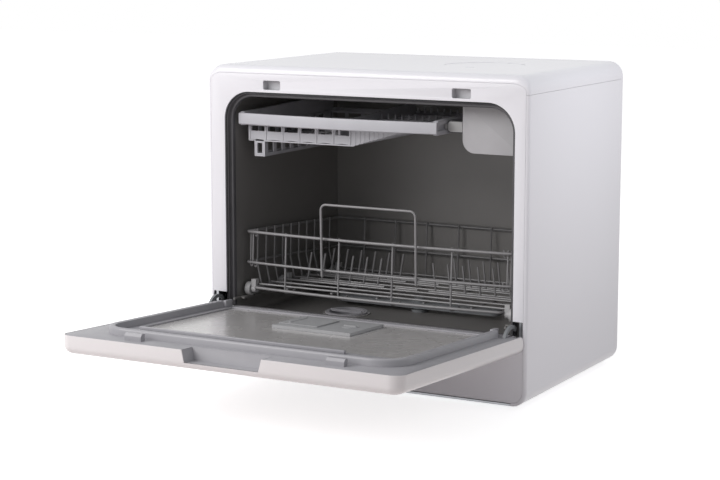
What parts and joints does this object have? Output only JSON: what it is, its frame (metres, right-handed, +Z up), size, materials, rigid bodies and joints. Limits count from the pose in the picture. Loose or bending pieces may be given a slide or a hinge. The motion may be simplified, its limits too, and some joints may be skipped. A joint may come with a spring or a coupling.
{
  "type": "countertop dishwasher",
  "caption": "Countertop dishwasher with a drop-down door, a pull-out wheeled wire rack, a sliding cutlery tray, a top filler lid and rotating spray arms",
  "frame": {"origin": "on the standing surface, directly below the middle of the door's hinge axis, which is also the middle of the bounding box with the door open", "axes": "+X to the right as seen from the front, +Y to the back of the cabinet, +Z up; the door opens towards -Y"},
  "size_m": [0.55, 0.7712, 0.494],
  "materials": {
    "cabinet_white": "glossy white moulded plastic",
    "liner_grey": "fine matte light grey",
    "mid_grey_plastic": "matte mid grey",
    "zinc_plate": "zinc-plated steel",
    "stainless_steel": "brushed stainless steel",
    "seal_rubber": "dark rubber",
    "dark_plastic": "dark matte plastic",
    "dispenser_plastic": "light grey matte plastic",
    "clear_tank": "milky translucent plastic",
    "board_green": "coated circuit board",
    "coated_wire": "grey plastic-coated steel wire"
  },
  "bodies": {
    "cabinet": {"top_cover": "cabinet_white", "left_side_panel": "cabinet_white", "right_side_panel": "cabinet_white", "front_frame": "cabinet_white", "kick_panel": "cabinet_white", "back_panel": "mid_grey_plastic", "base_pan": "zinc_plate", "feet": "seal_rubber", "latch_pockets": "mid_grey_plastic", "tub": "stainless_steel", "rack_rails": "stainless_steel", "door_seal": "seal_rubber", "air_duct_cover": "liner_grey", "tray_guides": "liner_grey", "hinge_bracket_left": "zinc_plate", "hinge_bracket_right": "zinc_plate", "sump": "dark_plastic", "filter_plate": "stainless_steel", "spray_riser": "mid_grey_plastic", "ceiling_feed": "mid_grey_plastic", "circulation_pump": "mid_grey_plastic", "drain_pump": "dark_plastic", "heater": "stainless_steel", "water_tank": "clear_tank", "filler_funnel": "clear_tank", "air_break": "clear_tank", "inlet_valve": "mid_grey_plastic", "connector_plate": "mid_grey_plastic", "cord_gland": "seal_rubber", "power_board": "board_green", "drying_fan": "dark_plastic", "float_switch": "dark_plastic", "back_screws": "stainless_steel", "hinge_springs": "stainless_steel"},
    "door": {"door_skin": "cabinet_white", "door_liner": "liner_grey", "liner_rim": "liner_grey", "liner_panel": "stainless_steel", "latch_tabs": "liner_grey", "door_arms": "zinc_plate", "dispenser": "dispenser_plastic", "control_strip": "dark_plastic"},
    "detergent_lid": {"dispenser_lid": "mid_grey_plastic"},
    "rinse_aid_cap": {"rinse_cap": "mid_grey_plastic"},
    "power_key": {"power_button": "mid_grey_plastic"},
    "start_key": {"start_button": "mid_grey_plastic"},
    "fill_lid": {"tank_lid": "cabinet_white"},
    "filter": {"filter_cup": "liner_grey"},
    "lower_arm": {"lower_spray_arm": "mid_grey_plastic"},
    "upper_arm": {"upper_spray_arm": "mid_grey_plastic"},
    "rack": {"rack_frame": "coated_wire", "rack_tines": "coated_wire", "wheel_clips": "mid_grey_plastic"},
    "cutlery_tray": {"tray": "liner_grey"},
    "wheel_front_left": {"wheel_front_left": "mid_grey_plastic"},
    "wheel_front_right": {"wheel_front_right": "mid_grey_plastic"},
    "wheel_mid_left": {"wheel_mid_left": "mid_grey_plastic"},
    "wheel_mid_right": {"wheel_mid_right": "mid_grey_plastic"},
    "wheel_rear_left": {"wheel_rear_left": "mid_grey_plastic"},
    "wheel_rear_right": {"wheel_rear_right": "mid_grey_plastic"}
  },
  "joints": [
    {"name": "door_hinge", "type": "hinge", "parent": "cabinet", "child": "door", "pos_m": [0, 0, 0.103], "axis": [1, 0, 0], "range_deg": [-87, 0]},
    {"name": "lower_rack_slide", "type": "slide", "parent": "cabinet", "child": "rack", "axis": [0, -0.9986, 0.0523], "range_m": [0, 0.27]},
    {"name": "tray_slide", "type": "slide", "parent": "cabinet", "child": "cutlery_tray", "axis": [0, -1, 0], "range_m": [0, 0.156]},
    {"name": "fill_lid_hinge", "type": "hinge", "parent": "cabinet", "child": "fill_lid", "pos_m": [0.118, 0.258, 0.493], "axis": [-1, 0, 0], "range_deg": [0, 95]},
    {"name": "filter_turn", "type": "hinge", "parent": "cabinet", "child": "filter", "pos_m": [-0.092, 0.13, 0.07], "axis": [0, 0, 1], "range_deg": [0, 90]},
    {"name": "lower_arm_spin", "type": "hinge", "parent": "cabinet", "child": "lower_arm", "pos_m": [0.004, 0.202, 0.104], "axis": [0, 0, 1], "continuous": true},
    {"name": "upper_arm_spin", "type": "hinge", "parent": "cabinet", "child": "upper_arm", "pos_m": [0.004, 0.202, 0.437], "axis": [0, 0, 1], "continuous": true},
    {"name": "detergent_lid_slide", "type": "slide", "parent": "door", "child": "detergent_lid", "axis": [-1, 0, 0], "range_m": [0, 0.062]},
    {"name": "rinse_cap_turn", "type": "hinge", "parent": "door", "child": "rinse_aid_cap", "pos_m": [0.034, -0.08432, 0.11823], "axis": [0, 0.0523, 0.9986], "range_deg": [0, 90]},
    {"name": "power_key_press", "type": "slide", "parent": "door", "child": "power_key", "axis": [0, 0.0523, 0.9986], "range_m": [0, 0.0015], "stiffness_N_per_m": 150},
    {"name": "start_key_press", "type": "slide", "parent": "door", "child": "start_key", "axis": [0, 0.0523, 0.9986], "range_m": [0, 0.0015], "stiffness_N_per_m": 150},
    {"name": "wheel_front_left_spin", "type": "hinge", "parent": "rack", "child": "wheel_front_left", "pos_m": [-0.2274, 0.05509, 0.13296], "axis": [1, 0, 0], "range_deg": [0, 1406.5]},
    {"name": "wheel_front_right_spin", "type": "hinge", "parent": "rack", "child": "wheel_front_right", "pos_m": [0.2354, 0.05509, 0.13296], "axis": [1, 0, 0], "range_deg": [0, 1406.5]},
    {"name": "wheel_mid_left_spin", "type": "hinge", "parent": "rack", "child": "wheel_mid_left", "pos_m": [-0.2274, 0.15895, 0.12751], "axis": [1, 0, 0], "range_deg": [0, 1406.5]},
    {"name": "wheel_mid_right_spin", "type": "hinge", "parent": "rack", "child": "wheel_mid_right", "pos_m": [0.2354, 0.15895, 0.12751], "axis": [1, 0, 0], "range_deg": [0, 1406.5]},
    {"name": "wheel_rear_left_spin", "type": "hinge", "parent": "rack", "child": "wheel_rear_left", "pos_m": [-0.2274, 0.32872, 0.11862], "axis": [1, 0, 0], "range_deg": [0, 1406.5]},
    {"name": "wheel_rear_right_spin", "type": "hinge", "parent": "rack", "child": "wheel_rear_right", "pos_m": [0.2354, 0.32872, 0.11862], "axis": [1, 0, 0], "range_deg": [0, 1406.5]}
  ],
  "couplings": [
    {"joint": "wheel_front_left_spin", "follows": "lower_rack_slide", "rad_per_m": 90.909},
    {"joint": "wheel_front_right_spin", "follows": "lower_rack_slide", "rad_per_m": 90.909},
    {"joint": "wheel_mid_left_spin", "follows": "lower_rack_slide", "rad_per_m": 90.909},
    {"joint": "wheel_mid_right_spin", "follows": "lower_rack_slide", "rad_per_m": 90.909},
    {"joint": "wheel_rear_left_spin", "follows": "lower_rack_slide", "rad_per_m": 90.909},
    {"joint": "wheel_rear_right_spin", "follows": "lower_rack_slide", "rad_per_m": 90.909}
  ]
}
